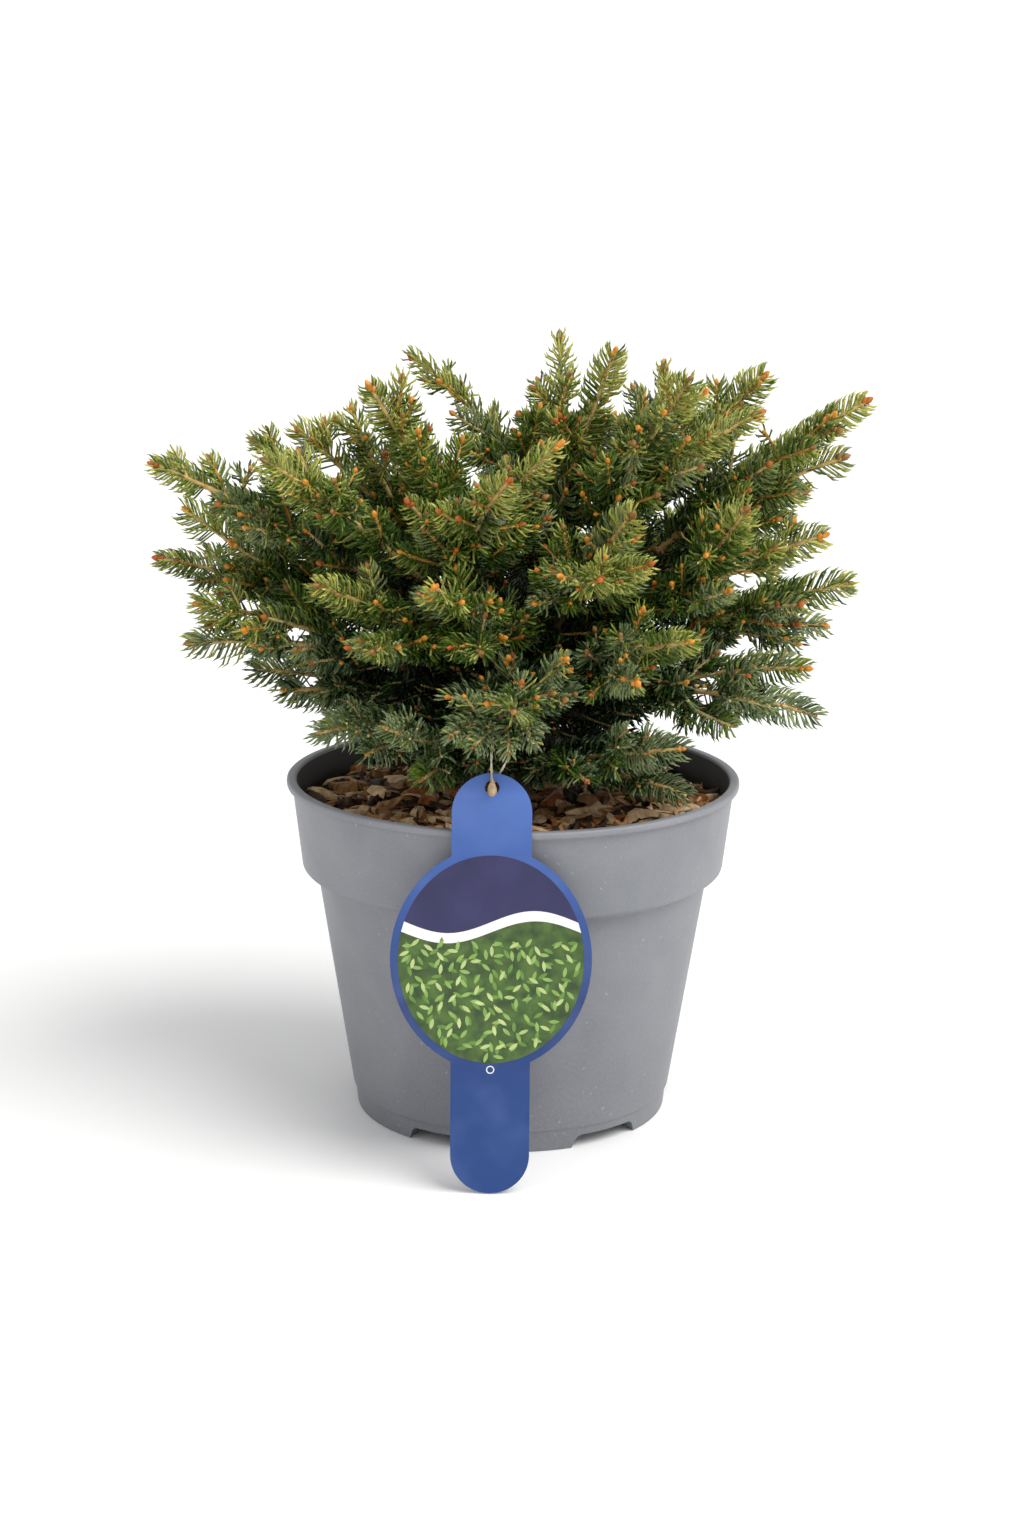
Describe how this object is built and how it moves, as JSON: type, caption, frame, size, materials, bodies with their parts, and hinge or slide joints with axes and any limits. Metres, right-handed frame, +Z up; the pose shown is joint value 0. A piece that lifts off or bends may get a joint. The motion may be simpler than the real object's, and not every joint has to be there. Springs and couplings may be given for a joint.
{
  "type": "birds nest spruce in a nursery pot",
  "caption": "Low spreading conifer with flat layered sprays of short needles, in a round grey plastic nursery pot of potting mix and bark mulch, with a blank hanging care label.",
  "frame": {"origin": "on the pot's axis, on the surface that the pot stands on, in the middle under the crown", "axes": "+Z up; -Y to the front, where the label stands; +X to the right in the picture"},
  "size_m": [0.2999, 0.2395, 0.3272],
  "materials": {
    "pot_plastic": "matt mid grey, faint mottling",
    "potting_mix": "dark, moist, fibrous",
    "bark_chips": "rough, brown and tan",
    "spruce_bark": "rough, grey brown",
    "needles": "satin, dark green inside and yellow green at the tips",
    "label_card": "smooth printed card, blue",
    "string": "thin natural string"
  },
  "bodies": {
    "root": {"back_droop": "needles", "back_high": "needles", "back_left": "needles", "back_left_droop": "needles", "back_left_low": "needles", "back_right": "needles", "back_right_side": "needles", "bark_mulch": "bark_chips", "bough_back_high": "spruce_bark", "bough_back_left": "spruce_bark", "bough_back_left_low": "spruce_bark", "bough_back_right": "spruce_bark", "bough_back_right_side": "spruce_bark", "bough_front_high": "spruce_bark", "bough_front_right_high": "spruce_bark", "bough_left_back_high": "spruce_bark", "bough_left_crown": "spruce_bark", "bough_left_front_high": "spruce_bark", "bough_left_long": "spruce_bark", "bough_left_low": "spruce_bark", "bough_left_middle": "spruce_bark", "bough_left_top": "spruce_bark", "bough_right_back": "spruce_bark", "bough_right_crown": "spruce_bark", "bough_right_front_crown": "spruce_bark", "bough_right_long": "spruce_bark", "bough_right_low": "spruce_bark", "bough_right_middle": "spruce_bark", "bough_right_skirt": "spruce_bark", "front_high": "needles", "front_left": "needles", "front_left_droop": "needles", "front_left_side": "needles", "front_low": "needles", "front_right_droop": "needles", "front_right_high": "needles", "front_right_low": "needles", "label": "label_card", "label_tie": "string", "left_back_high": "needles", "left_crown": "needles", "left_front_high": "needles", "left_long": "needles", "left_low": "needles", "left_middle": "needles", "left_peak": "needles", "left_skirt": "needles", "left_top": "needles", "peak": "needles", "pot": "pot_plastic", "potting_mix": "potting_mix", "right_back": "needles", "right_crown": "needles", "right_droop": "needles", "right_front_crown": "needles", "right_long": "needles", "right_low": "needles", "right_middle": "needles", "right_skirt": "needles", "trunk": "spruce_bark"}
  },
  "joints": []
}
